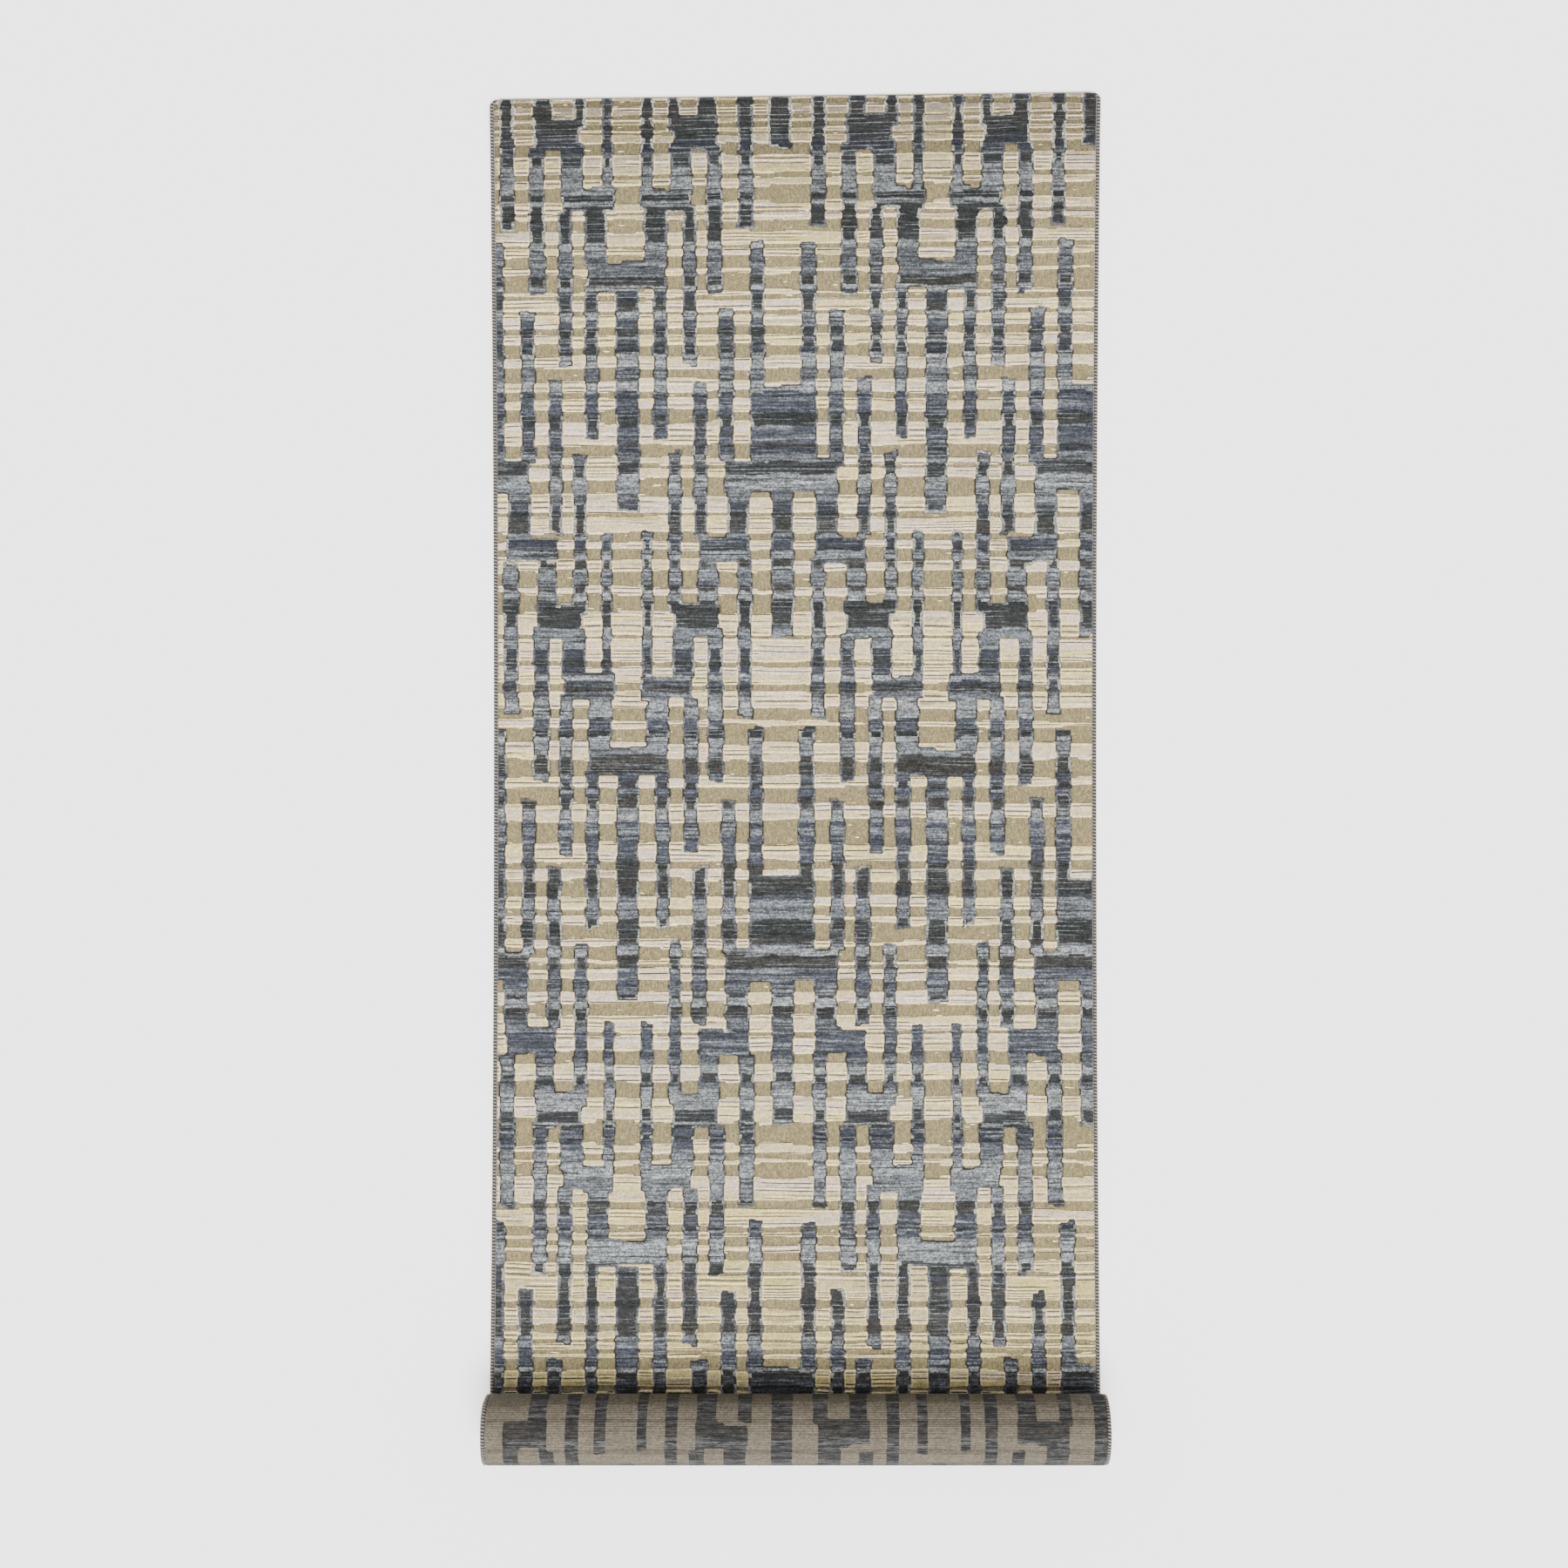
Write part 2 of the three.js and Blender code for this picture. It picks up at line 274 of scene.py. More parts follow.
def add_strip(depth, swell, freedom, rng, middle, width, start, length):
    """Adds one strip to the depth, with the small liberties that a weaver takes."""
    shift, wide, top, bottom, lean_top, lean_bottom = rng.uniform(-1, 1, 6)
    middle += 2.0 * shift if width < 40 else 0.8 * shift
    half = width / 2 + 0.8 * wide
    cells = np.abs(X - middle) < half + 6
    rows = rows_near(start - 12, start + length + 12)
    if rows.stop <= rows.start + 1:
        return
    left = side_wander(rows, rng)
    right = side_wander(rows, rng)
    if start > LENGTH or start + length < 0 or not cells.any():
        return
    s, x = S[rows, None], X[None, cells]
    tilt = np.sign(x - middle - 0.25 * half * shift)
    begins = start + 3.0 * top + 2.4 * lean_top * tilt
    ends = start + length + 3.0 * bottom + 2.4 * lean_bottom * tilt
    edge = np.where(x < middle, left[:, None], right[:, None]) * freedom[rows]
    side = half + edge - np.abs(x - middle) + swell[rows][:, cells]
    inside = np.minimum(side, np.minimum(s - begins, ends - s))
    here = depth[rows]
    here[:, cells] = np.maximum(here[:, cells], inside)


def side_wander(rows, rng):
    """How far one side of a strip steps out or in, in each of its rows."""
    return 1.1 * steps(S[rows], 7, 26, rng)


def blend(share, a, b):
    """Colours between a and b, with one share of b for each point."""
    share = share[..., None]
    return a * (1 - share) + b * share


def tone_edges(rng):
    """Where the bands of dyed yarn change along the rug."""
    edges = [0.0]
    while edges[-1] < LENGTH + 40:
        edges.append(edges[-1] + rng.choice(TONE_BANDS[0], p=TONE_BANDS[1]))
    return np.array(edges)


def tone_bands():
    """The strips' colours in bands of dyed yarn across the rug, which of them are light, and the
    width of their margins."""
    rng = np.random.default_rng(8)
    edges = tone_edges(rng)
    is_light = rng.uniform(size=len(edges)) < np.where(edges < 0.5 * HEAD_SHADE, 0.26, 0.50)
    yarns = [LIGHT_YARNS if light else DARK_YARNS for light in is_light]
    tones = np.array([choices[rng.integers(len(choices))] for choices in yarns])
    wave = 1.8 * noise(S, X, 200, 90, 41) + 1.6 * steps(X, 18, 40, rng)[None, :]
    place_s = S[:, None] + wave + 0.5 * noise(S, X, 8, 7, 42)
    index = np.clip(np.searchsorted(edges, place_s.ravel(), side="right") - 1, 0, len(edges) - 2)
    index = index.reshape(place_s.shape)
    lit = is_light[index]
    from_edge = np.minimum(place_s - edges[index], edges[index + 1] - place_s)
    seam = np.clip(1.3 - from_edge / 0.9, 0, 1) * (rng.uniform(size=len(edges)) < 0.6)[index] * 0.8
    colour = blend(seam, silky(tones[index], lit), OUTLINE)
    return colour, lit, margin_width(lit, place_s, rng)


def silky(colour, lit):
    """Dyed yarn with fine streaks across the rug, stronger in the light bands."""
    streak = 0.42 * noise(S, X, 1.9, 55, 43) + 0.22 * noise(S, X, 1.6, 18, 44)
    streak = streak * np.where(lit, 1.0, 0.45)
    pale = smooth(noise(S, X, 2.3, 70, 45), 0.42, 0.7) * np.where(lit, 0.8, 0.22)
    deep = smooth(noise(S, X, 2.0, 60, 46), 0.5, 0.75) * np.where(lit, 0.75, 0.3)
    colour = colour * (1 + streak[..., None])
    return blend(deep, blend(pale, colour, MIST), CHARCOAL)


def margin_width(lit, place_s, rng):
    """How far the core stays inside the strip's edge: an outline's width round light yarn, and
    round dark yarn a width that changes from patch to patch."""
    long_cells = np.cumsum(rng.uniform(9, 26, 260))
    wide_cells = np.cumsum(rng.uniform(22, 46, 44)) - HALF_WIDTH - 20
    patches = (len(long_cells) + 1, len(wide_cells) + 1)
    table = rng.choice(MARGINS[0], p=MARGINS[1], size=patches)
    row = np.searchsorted(long_cells, place_s.ravel()).reshape(place_s.shape)
    column = np.searchsorted(wide_cells, X)[None, :]
    return np.where(lit, OUTLINE_WIDTH, table[row, column])


def edge_tones(lit):
    """The colour just inside a strip's edge: a broken dark outline round light yarn,
    and a grey or pale margin round dark yarn."""
    outline = blend(smooth(noise(S, X, 6, 26, 61), -0.30, 0.0), STEEL, OUTLINE)
    margin = blend(smooth(noise(S, X, 30, 50, 62), -0.12, 0.12), SLATE, HALO)
    return np.where(lit[..., None], outline, margin)


def ground_tones(low):
    """The raised ground's colours: undyed yarns from ivory to silver, with a painted highlight along its
    edge beside the low-cut bands.
    """
    cool = smooth(noise(S, X, 6, 190, 51), 0.02, 0.16)
    warm = smooth(noise(S, X, 6, 150, 52) + 0.5 * smooth(S, *CREAM_RISE)[:, None], 0.30, 0.42)
    dull = 0.7 * smooth(noise(S, X, 3.2, 90, 53), 0.60, 0.72)
    # painted highlight along the raised edge beside each low-cut band
    highlight_rim = 0.6 * smooth(low, -1.7, -0.9)
    colour = blend(warm, blend(cool, IVORY, SILVER), CREAM)
    return blend(highlight_rim, blend(dull, colour, SAND), PALE_KNOT_AND_HIGHLIGHT)


def design():
    """Every field of the design over the whole rug, on the grid S by X."""
    low = low_bands()
    khaki = smooth(low, -0.6, 0.6)
    row_count = carved_rows()
    vigour = smooth(noise(S, X, 3.6, 60, 26), -0.06, 0.16)
    groove = vigour * np.clip(1.3 - np.abs(row_count - np.round(row_count)) * ROW_PITCH / 0.9, 0, 1)
    dark = strip_depth(khaki)
    core, lit, margin = tone_bands()
    past_head, past_end, near_foot = (
        smooth(S, *fade)[:, None, None] for fade in (HEAD_FADE, DARK_END, FOOT_FADE)
    )
    ground = ground_tones(low) * (0.66 + 0.34 * past_head) * (0.60 + 0.40 * past_end)
    return {
        "dark": dark,
        "low": low,
        "margin": margin,
        "core": core * (0.62 + 0.38 * past_head),
        "ground": ground * (1 - near_foot * (1 - FOOT_SHADE_TINT)),
        "edge": edge_tones(lit),
        "height": pile_height(dark, low, khaki, lit, groove),
        "rows": row_count,
        "vigour": vigour,
        "streaks": smooth(noise(S, X, 3.2, 45, 27), 0.0, 0.45),
    }


def pile_height(dark, low, khaki, lit, groove):
    """Height of the cut pile over the rug's back, in millimetres."""
    raised = RAISED_TOP - 0.8 * groove + 0.15 * noise(S, X, 12, 25, 71)
    ground = raised + (GROUND_TOP - raised) * smooth(low, -1.0, 1.0)
    strip = RAISED_TOP - 0.1 - 0.35 * (1 - lit) + 0.2 * noise(S, X, 2.4, 50, 72)
    carved = lit * (1 - smooth(dark, 1.2, 2.8))
    strip = strip - 1.2 * carved
    inside = smooth(dark, -0.8, 0.8)
    round_off = 0.55 * (1 - khaki) * smooth(dark, -3.0, -0.2)
    height = (ground - round_off) * (1 - inside) + strip * inside
    return height + 0.09 * noise(S, X, 1.6, 1.8, 73)


# ---- Where the sheet lies

def turn_angle(s):
    """The roll's angle at length s, from where the sheet leaves the floor."""
    length = np.clip(s - FLAT_LENGTH, 0, None)
    a = ROLL_PITCH / (4 * math.pi)
    return (ROLL_RADIUS - np.sqrt(ROLL_RADIUS ** 2 - 4 * a * length)) / (2 * a)


def hem_lift(s):
    """How far the turned-under web lifts the sheet near either end."""
    from_end = np.minimum(s, LENGTH - s)
    return HEM_LIFT * smooth(HEM_LEVEL + HEM_RAMP - from_end, 0, HEM_RAMP)


def place(s, x, level):
    """Points of the sheet, in millimetres, at length s, x across and a level above its back."""
    s, x, level = np.broadcast_arrays(np.asarray(s, float), x, level)
    angle = turn_angle(np.minimum(s, LENGTH))
    rolled = s > FLAT_LENGTH
    rise = level + hem_lift(np.clip(s, 0, LENGTH))
    radius = ROLL_RADIUS - ROLL_PITCH * angle / (2 * math.pi) - rise
    past = np.maximum(0, s - LENGTH)
    flat_y = HEAD_Y - s
    roll_y = ROLL_Y - radius * np.sin(angle) - past * np.cos(angle)
    roll_z = ROLL_RADIUS - radius * np.cos(angle) + past * np.sin(angle)
    y = np.where(rolled, roll_y, flat_y)
    z = np.where(rolled, roll_z, rise)
    return np.stack([shape_width(s, x), y + head_skew(s, x), z], axis=-1)


def shape_width(s, x):
    """x with the rug's flared ends, rounded head corners and wandering turns."""
    middle = FLAT_LENGTH / 2
    flare = EDGE_FLARE * (2 * np.clip(np.abs(s - middle) / middle, 0, 1) ** 2 - 1)
    inner = HALF_WIDTH - 2 * CORNER_RADIUS
    down = np.clip(1 - np.abs(s) / CORNER_RADIUS, 0, 1)
    cut = CORNER_RADIUS * (1 - np.sqrt(1 - down ** 2))
    beyond = np.clip(np.abs(x) - inner, 0, None)
    rounded = np.sign(x) * (np.minimum(np.abs(x), inner) + beyond * (1 - cut / (2 * CORNER_RADIUS)))
    turns = turn_angle(s) / (2 * math.pi)
    drift = ROLL_DRIFT * np.sin(2.3 * turns) * smooth(turns, 0.2, 1.2)
    return rounded * (1 + flare) + drift


def head_skew(s, x):
    """The head end runs a little out of square."""
    return HEAD_SKEW * (x / HALF_WIDTH - 1) / 2 * (1 - smooth(s, 0, SKEW_FADE))


# ---- Mesh building

TURNED = [0, 3, 2, 1]    # a quad's corners the other way round
SLAB_CREASE = math.radians(72)      # edges of a slab sharper than this aren't smoothed
WEB_CREASE = math.radians(50)


def link(obj):
    """Puts a new object into the scene."""
    bpy.context.scene.collection.objects.link(obj)
    return obj


def grid_corners(rows, columns):
    """The row and the column of each quad's four corners, in a grid of vertices."""
    r, c = np.meshgrid(np.arange(rows - 1), np.arange(columns - 1), indexing="ij")
    return r.reshape(-1, 1) + np.array([0, 1, 1, 0]), c.reshape(-1, 1) + np.array([0, 0, 1, 1])


def ring_angles(sides):
    """Angles evenly round a ring."""
    return np.linspace(0, 2 * math.pi, sides + 1)[:-1]


def ring_faces(rings, sides, flip=False):
    """Quads and two end caps of a tube, its vertices numbered ring by ring. Faces turn the other
    way if flip."""
    r, c = grid_corners(rings, sides + 1)
    quads = r * sides + c % sides
    first = np.arange(sides)
    last = first + (rings - 1) * sides
    if flip:
        return quads, [first, last[::-1]]
    return quads[:, TURNED], [first[::-1], last]


def mesh_object(name, points, quads, caps):
    """A smoothly shaded object from points in millimetres, quads, and a few larger flat faces."""
    mesh = bpy.data.meshes.new(name)
    loops = np.concatenate([quads.ravel(), *caps]).astype(np.int32)
    sizes = np.concatenate([np.full(len(quads), 4), [len(c) for c in caps]]).astype(np.int32)
    mesh.vertices.add(len(points))
    mesh.vertices.foreach_set("co", (points * MM).astype(np.float32).ravel())
    mesh.loops.add(len(loops))
    mesh.loops.foreach_set("vertex_index", loops)
    mesh.polygons.add(len(sizes))
    starts = np.concatenate([[0], np.cumsum(sizes)[:-1]]).astype(np.int32)
    mesh.polygons.foreach_set("loop_start", starts)
    mesh.update(calc_edges=True)
    mesh.validate()
    mesh.polygons.foreach_set("use_smooth", np.ones(len(sizes), bool))
    return link(bpy.data.objects.new(name, mesh))


def add_uv(obj, name, values):
    """A UV map from one pair for each face corner."""
    layer = obj.data.uv_layers.new(name=name)
    layer.uv.foreach_set("vector", np.asarray(values, np.float32).ravel())


def add_flat_map(obj, values):
    """Where on the unrolled rug each vertex lies, in metres."""
    vertex = np.zeros(len(obj.data.loops), np.int32)
    obj.data.loops.foreach_get("vertex_index", vertex)
    add_uv(obj, "rug", values[vertex])


def add_vector(obj, name, values):
    """Three numbers for each vertex."""
    layer = obj.data.attributes.new(name, "FLOAT_VECTOR", "POINT")
    layer.data.foreach_set("vector", np.asarray(values, np.float32).ravel())


def add_colour(obj, name, values):
    """A colour for each vertex."""
    rgba = np.ones((len(values), 4), np.float32)
    rgba[:, :3] = np.clip(values, 0, 1)
    layer = obj.data.attributes.new(name, "FLOAT_COLOR", "POINT")
    layer.data.foreach_set("color", rgba.ravel())


def with_edges(values):
    """Grid values as a list, then their first and last columns again for the slab's plain side."""
    tail = values.shape[2:]
    return np.concatenate([values.reshape((-1,) + tail), values[:, 0], values[:, -1]])


def sheet_solid(name, s, x, fine, plain, face_up, folds):
    """A closed slab of the sheet: a fine surface over rows s and columns x at the levels fine,
    and a plain one at the level plain. The fine side is the upper one if face_up.
    Its bake map lays the fine surface out in folds side by side."""
    rows, columns = len(s), len(x)
    surface = place(s[:, None], x[None, :], fine).reshape(-1, 3)
    points = np.concatenate([surface, place(s, x[0], plain), place(s, x[-1], plain)])
    top = np.arange(rows * columns).reshape(rows, columns)
    left = rows * columns + np.arange(rows)
    right = left + rows
    r, c = grid_corners(rows, columns)
    quads = [r * columns + c]
    for a, b in ((left, top[:, 0]), (top[:, -1], right), (right, left)):
        quads.append(np.stack([a[:-1], a[1:], b[1:], b[:-1]], axis=-1))
    caps = [[left[0], *top[0], right[0]], [right[-1], *top[-1][::-1], left[-1]]]
    quads = np.concatenate(quads)
    if not face_up:
        quads = quads[:, ::-1]
        caps = [c[::-1] for c in caps]
    obj = mesh_object(name, points, quads, caps)
    add_uv(obj, "OFBake", bake_layout(rows, columns, folds, face_up, caps))
    add_flat_map(obj, with_edges(np.stack(np.meshgrid(x, s), axis=-1)) * MM)
    obj.data.set_sharp_from_angle(angle=SLAB_CREASE)
    return obj


def bake_layout(rows, columns, folds, face_up, caps):
    """Bake map of sheet_solid: folds of the fine surface, then narrow strips for the other three
    sides, then a curved line for each end, all as shares of the map."""
    body, margin, strip, gutter = 0.955, 0.003, 0.012, 0.004
    r, c = grid_corners(rows, columns)
    per_fold = math.ceil((rows - 1) / folds)
    fold = r[:, :1] // per_fold
    u = (fold + margin + (1 - 2 * margin * folds) * c / (columns - 1)) / folds * body
    v = margin + (1 - 2 * margin) * (r - fold * per_fold) / per_fold
    maps = [np.stack([u, v], axis=-1)]
    r, c = grid_corners(rows, 2)
    for i in range(3):
        u = body + gutter + i * strip + c * (strip - gutter)
        v = margin + (1 - 2 * margin) * r / (rows - 1)
        maps.append(np.stack([u, v], axis=-1))
    maps = np.concatenate(maps)
    if not face_up:
        maps = maps[:, ::-1]
    ends = []
    for i, cap in enumerate(caps):
        t = np.linspace(0, 1, len(cap))
        u = 0.994 + gutter * np.sin(math.pi * t)
        ends.append(np.stack([u, 0.01 + 0.48 * i + 0.46 * t], axis=-1))
    return np.concatenate([maps.reshape(-1, 2), *ends])


def sampled(fields, s, x):
    """The design's fields at rows s and columns x, blended from the grid's nearest points."""
    row = np.clip(s / GRID, 0, len(S) - 1.001)
    step = X[1] - X[0]
    column = np.clip((x - X[0]) / step, 0, len(X) - 1.001)
    r, c = row.astype(int), column.astype(int)
    fr, fc = row - r, column - c
    out = {}
    for name, field in fields.items():
        a = fr[:, None] if field.ndim == 2 else fr[:, None, None]
        b = fc[None, :] if field.ndim == 2 else fc[None, :, None]
        upper = field[np.ix_(r, c)] * (1 - b) + field[np.ix_(r, c + 1)] * b
        lower = field[np.ix_(r + 1, c)] * (1 - b) + field[np.ix_(r + 1, c + 1)] * b
        out[name] = upper * (1 - a) + lower * a
    return out


def paint(obj, here):
    """Stores the design on a slab made by sheet_solid."""
    zones = np.stack([here["dark"], here["low"], here["margin"]], axis=-1)
    lines = np.stack([here["rows"], here["vigour"], here["streaks"]], axis=-1)
    add_vector(obj, "zones", with_edges(zones))
    add_vector(obj, "lines", with_edges(lines))
    for name in ("core", "ground", "edge"):
        add_colour(obj, name, with_edges(here[name]))


# ---- Materials

class Nodes:
    """A short way to write a material's nodes. Values are sockets, numbers or colours."""

    def __init__(self, name, plain_colour):
        self.material = bpy.data.materials.new(name)
        self.material.use_nodes = True
        self.material.diffuse_color = (*plain_colour, 1)
        self.tree = self.material.node_tree
        self.shader = self.tree.nodes["Principled BSDF"]

    def add(self, kind, inputs=None, **settings):
        """A node, with its inputs fed by name or number and its settings set."""
        node = self.tree.nodes.new(kind)
        for key, value in settings.items():
            setattr(node, key, value)
        for key, value in (inputs or {}).items():
            self.feed(node.inputs[key], value)
        return node

    def feed(self, socket, value):
        if isinstance(value, bpy.types.NodeSocket):
            self.tree.links.new(value, socket)
        else:
            socket.default_value = value

    def surface(self, inputs):
        """Feeds the shader, and gives the finished material."""
        for key, value in inputs.items():
            self.feed(self.shader.inputs[key], value)
        return self.material

    def flat_map(self):
        """Where on the unrolled rug a point lies, in metres."""
        return self.add("ShaderNodeUVMap", uv_map="rug").outputs[0]

    def attribute(self, name, output):
        return self.add("ShaderNodeAttribute", attribute_name=name).outputs[output]

    def math(self, operation, a, b=0.0):
        return self.add("ShaderNodeMath", {0: a, 1: b}, operation=operation).outputs[0]

    def plus(self, a, b):
        return self.math("ADD", a, b)

    def times(self, a, b):
        return self.math("MULTIPLY", a, b)

    def ramp(self, value, low, high, to_low=0.0, to_high=1.0):
        """Smoothly from to_low, where the value is low, to to_high, where it is high."""
        inputs = {"Value": value, "From Min": low, "From Max": high, "To Min": to_low, "To Max": to_high}
        return self.add("ShaderNodeMapRange", inputs, interpolation_type="SMOOTHSTEP").outputs[0]

    def mix(self, share, a, b, blend="MIX"):
        """Colour a where the share is 0, and b where it is 1."""
        node = self.add("ShaderNodeMix", data_type="RGBA", blend_type=blend)
        self.feed(node.inputs[0], share)
        self.feed(node.inputs[6], colour4(a))
        self.feed(node.inputs[7], colour4(b))
        return node.outputs[2]

    def noise(self, vector, scale, detail=2.0, rough=0.5):
        inputs = {"Vector": vector, "Scale": scale, "Detail": detail, "Roughness": rough}
        return self.add("ShaderNodeTexNoise", inputs).outputs[0]

    def stretched(self, vector, x, y):
        """The vector times x and y, which draws a pattern out where they are small."""
        inputs = {0: vector, 1: (x, y, 1.0)}
        return self.add("ShaderNodeVectorMath", inputs, operation="MULTIPLY").outputs[0]

    def split(self, vector):
        return self.add("ShaderNodeSeparateXYZ", {0: vector}).outputs

    def ridges(self, vector):
        """Rows of ridges along x and along y, pi apart."""
        waves = self.split(vector)
        return [self.math("ABSOLUTE", self.math("SINE", waves[i])) for i in (0, 1)]

    def grey(self, value):
        return self.add("ShaderNodeCombineColor", {0: value, 1: value, 2: value}).outputs[0]

    def shade(self, colour, value, low, high, at_low, at_high):
        """The colour times at_low where the value is low, and times at_high where it is high."""
        factor = self.grey(self.ramp(value, low, high, at_low, at_high))
        return self.mix(1.0, colour, factor, "MULTIPLY")

    def bump(self, height, distance, strength, normal=None):
        inputs = {"Height": height, "Distance": distance, "Strength": strength}
        if normal is not None:
            inputs["Normal"] = normal
        return self.add("ShaderNodeBump", inputs).outputs[0]


def colour4(value):
    """A colour for a socket: links stay, and three numbers gain an alpha."""
    if isinstance(value, bpy.types.NodeSocket):
        return value
    return (*[float(v) for v in value], 1.0)


def design_inputs(n):
    """The fields that both faces of the rug read: where, zones, lines and the colours."""
    rug = n.flat_map()
    zones, lines = (n.attribute(name, "Vector") for name in ("zones", "lines"))
    core, ground, edge = (n.attribute(name, "Color") for name in ("core", "ground", "edge"))
    return rug, n.split(zones), n.split(lines), core, ground, edge


def low_pile(n, rug):
    """The low-cut bands: khaki, duller at the head, with a stray pale knot here and there."""
    upright = n.noise(n.stretched(rug, 1.0, 0.25), 420.0, 3.0, 0.8)
    colour = n.mix(n.noise(n.stretched(rug, 1.0, 4.0), 60.0), KHAKI_DARK, KHAKI)
    colour = n.shade(colour, upright, 0.36, 0.64, 0.74, 1.22)
    along = n.split(rug)[1]
    colour = n.shade(colour, along, 0.15 * HEAD_SHADE * MM, 1.3 * HEAD_SHADE * MM, 0.58, 1.0)
    stray = n.ramp(n.noise(n.stretched(rug, 0.16, 1.0), 300.0, 1.0), 0.735, 0.75)
    return n.mix(stray, colour, PALE_KNOT_AND_HIGHLIGHT)


def raised_pile(n, rug, line, ground):
    """The high-cut bands: undyed yarn between carved lines, with a painted highlight on the crests."""
    level = n.noise(n.stretched(rug, 0.10, 1.0), 380.0, 3.0, 0.8)
    colour = n.shade(ground, level, 0.36, 0.64, 0.86, 1.12)
    from_line = n.math("PINGPONG", line[0], 0.5)
    # painted highlight: the crests midway between carved lines are made lighter
    crest_highlight = n.times(n.ramp(from_line, 0.34, 0.42, 0.0, 0.7), line[1])
    carved = n.times(n.ramp(from_line, 0.09, 0.15, 1.0, 0.0), line[1])
    return n.mix(carved, n.mix(crest_highlight, colour, PALE_KNOT_AND_HIGHLIGHT), LINE)


def strip_pile(n, rug, line, core, edge, cored, own):
    """The dark strips: the core inside its margin, with silky lines and mottled knots."""
    from_line = n.math("PINGPONG", line[0], 0.5)
    streak = n.times(n.ramp(from_line, 0.08, 0.16, 0.85, 0.0), line[2])
    glint = n.times(n.ramp(from_line, 0.38, 0.45, 0.0, 0.6), line[2])
    colour = n.mix(glint, n.mix(streak, core, OUTLINE), MIST)
    colour = n.mix(cored, edge, colour)
    lit = n.ramp(n.add("ShaderNodeSeparateColor", {0: colour}).outputs[1], 0.028, 0.055)
    mottle = n.noise(n.stretched(rug, 0.12, 1.0), 420.0, 3.0, 0.75)
    colour = n.shade(colour, mottle, 0.34, 0.66, 0.58, 1.50)
    dark_knots = n.grey(n.ramp(own, 0.0, 1.0, 0.80, 1.22))
    light_knots = n.grey(n.ramp(own, 0.0, 1.0, 0.70, 1.34))
    return n.mix(1.0, colour, n.mix(lit, dark_knots, light_knots), "MULTIPLY")


def in_the_nip(n, rug, colour):
    """The colour as it is, and next to the roll as it looks in the roll's shade."""
    along = n.split(rug)[1]
    near = n.ramp(along, (FLAT_LENGTH - NIP_LENGTH) * MM, (FLAT_LENGTH - 0.2 * NIP_LENGTH) * MM)
    return n.mix(near, colour, n.mix(1.0, colour, NIP_TINT, "MULTIPLY"))


def pile_material():
    """Cut pile: crisp zones from the design's fields, painted highlight and painted shade round the
    strips, fibre grain, soft sheen.
    """
    n = Nodes("knotted_pile", IVORY)
    rug, zone, line, core, ground, edge = design_inputs(n)
    fibre = n.noise(rug, 900.0, 2.0, 0.6)
    tuft = n.add("ShaderNodeTexVoronoi", {"Vector": rug, "Scale": 1 / (KNOT * MM)})
    own = n.add("ShaderNodeSeparateColor", {0: tuft.outputs["Color"]}).outputs[0]
    jitter = n.times(n.math("SUBTRACT", fibre, 0.5), 1.3)
    depth = n.plus(zone[0], jitter)
    inside = n.ramp(depth, -0.25, 0.25)
    cored = n.ramp(n.math("SUBTRACT", depth, zone[2]), -0.3, 0.3)
    lowness = n.ramp(n.plus(zone[1], n.times(jitter, 0.35)), -0.2, 0.2)
    khaki = low_pile(n, rug)
    colour = n.mix(lowness, raised_pile(n, rug, line, ground), khaki)
    # painted highlight: pale raised ground just outside each strip
    highlight_rim = n.mix(lowness, PALE_KNOT_AND_HIGHLIGHT, khaki)
    colour = n.mix(n.times(n.ramp(depth, -2.0, -1.1), 0.45), colour, highlight_rim)
    # painted shade: darker in the carved groove round each strip
    colour = n.shade(colour, depth, -1.25, -0.45, 1.0, 0.42)
    colour = n.mix(inside, colour, strip_pile(n, rug, line, core, edge, cored, own))
    grain = n.noise(rug, 500.0, 4.0, 0.9)
    colour = n.shade(colour, grain, 0.34, 0.66, 0.76, 1.26)
    colour = n.shade(colour, own, 0.0, 1.0, 0.79, 1.18)
    tufts = n.bump(tuft.outputs["Distance"], 0.0005, 0.5)
    return n.surface({
        "Base Color": in_the_nip(n, rug, colour),
        "Roughness": n.ramp(lowness, 0.0, 1.0, 0.72, 0.95),
        "Sheen Weight": 0.10,
        "Sheen Roughness": 0.5,
        "Specular IOR Level": 0.15,
        "Normal": n.bump(fibre, 0.0008, 0.6, tufts),
    })


def back_colour(n, rug, zone, line, core, jitter):
    """The design as it shows on the back: duller, in mottled dark and light areas."""
    inside = n.ramp(n.plus(zone[0], jitter), 0.2, 0.8)
    lowness = n.ramp(n.plus(zone[1], jitter), -0.5, 0.5)
    dashes = n.noise(n.stretched(rug, 0.07, 1.0), 260.0, 3.0, 0.7)
    streak = n.ramp(dashes, 0.49, 0.54, 0.0, 0.85)
    from_line = n.math("PINGPONG", line[0], 0.5)
    thread = n.times(n.ramp(from_line, 0.05, 0.16, 0.55, 0.0), line[2])
    light = n.mix(thread, n.mix(lowness, GREIGE, GREIGE_DARK), LINE)
    dark = n.mix(streak, n.mix(0.70, core, BACK_GREY), OUTLINE)
    mottle = n.noise(n.stretched(rug, 0.25, 1.0), 300.0, 3.0, 0.8)
    light_patch = n.grey(n.ramp(mottle, 0.34, 0.66, 0.84, 1.14))
    dark_patch = n.grey(n.ramp(mottle, 0.34, 0.66, 0.58, 1.45))
    patch = n.mix(inside, light_patch, dark_patch)
    return n.mix(1.0, n.mix(inside, light, dark), patch, "MULTIPLY")


